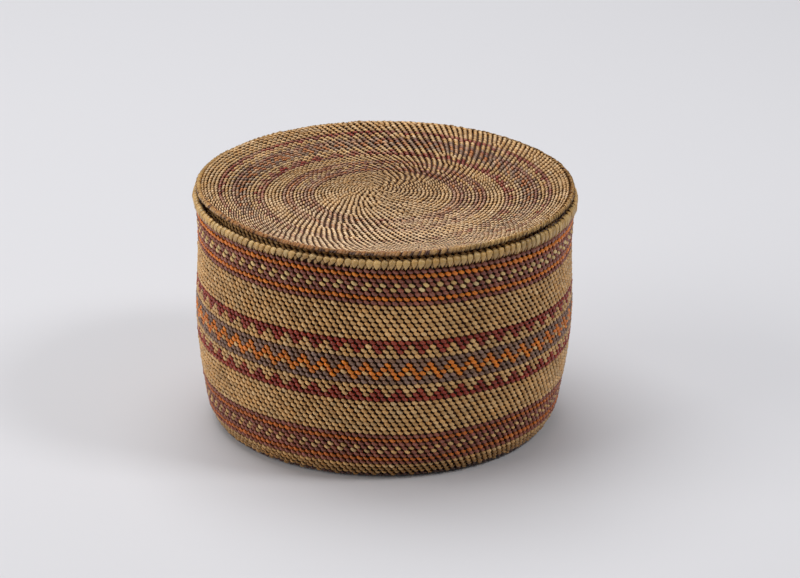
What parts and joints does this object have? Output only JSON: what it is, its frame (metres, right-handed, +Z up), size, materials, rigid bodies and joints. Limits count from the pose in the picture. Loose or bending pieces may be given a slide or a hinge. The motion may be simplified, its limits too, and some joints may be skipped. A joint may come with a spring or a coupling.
{
  "type": "lidded basket",
  "caption": "Small round twined basket with banded barrel wall, flat base and a flat lid whose hidden flange stands in the mouth.",
  "frame": {"origin": "middle of the underside, on the surface that the basket stands on", "axes": "+Z up along the basket's axis; -Y is the side that the picture shows"},
  "size_m": [0.1196, 0.1196, 0.0771],
  "materials": {
    "bark": "matte",
    "natural_grass": "matte",
    "pale_grass": "matte",
    "orange_grass": "matte",
    "purple_grass": "matte",
    "red_grass": "matte",
    "grey_grass": "matte",
    "dark_grass": "matte",
    "checked_grass": "matte"
  },
  "bodies": {
    "basket": {"base_start": "bark", "base_rounds": "natural_grass", "heel_round": "dark_grass", "warp_cup": "bark", "upper_band_purple_1": "purple_grass", "upper_band_orange_1": "orange_grass", "upper_band_purple_2": "purple_grass", "upper_band_check": "checked_grass", "upper_band_purple_3": "purple_grass", "upper_band_orange_2": "orange_grass", "upper_band_purple_4": "purple_grass", "upper_natural_field": "natural_grass", "middle_band_red_top": "red_grass", "middle_band_grey_orange": "grey_grass", "middle_band_red_bottom": "red_grass", "lower_natural_field": "natural_grass", "lower_band_purple_1": "purple_grass", "lower_band_orange_1": "orange_grass", "lower_band_purple_2": "purple_grass", "lower_band_check": "checked_grass", "lower_band_purple_3": "purple_grass", "lower_band_orange_2": "orange_grass", "lower_band_purple_4": "purple_grass", "foot_natural_field": "natural_grass", "rim_braid": "pale_grass"},
    "lid": {"lid_warp_disc": "bark", "lid_start": "pale_grass", "lid_center_field": "natural_grass", "lid_band_purple_1": "purple_grass", "lid_band_orange_1": "orange_grass", "lid_band_purple_2": "purple_grass", "lid_band_check": "checked_grass", "lid_band_purple_3": "purple_grass", "lid_band_orange_2": "orange_grass", "lid_band_purple_4": "purple_grass", "lid_inner_field": "natural_grass", "lid_ring_red_inner": "red_grass", "lid_ring_grey": "grey_grass", "lid_ring_orange": "orange_grass", "lid_ring_purple": "purple_grass", "lid_ring_red_outer": "red_grass", "lid_outer_field": "natural_grass", "lid_edge_roll": "pale_grass", "lid_flange": "natural_grass", "lid_flange_selvedge": "pale_grass"}
  },
  "joints": [
    {"name": "lid_lift", "type": "slide", "parent": "basket", "child": "lid", "axis": [0, 0, 1], "range_m": [0, 0.05]}
  ]
}
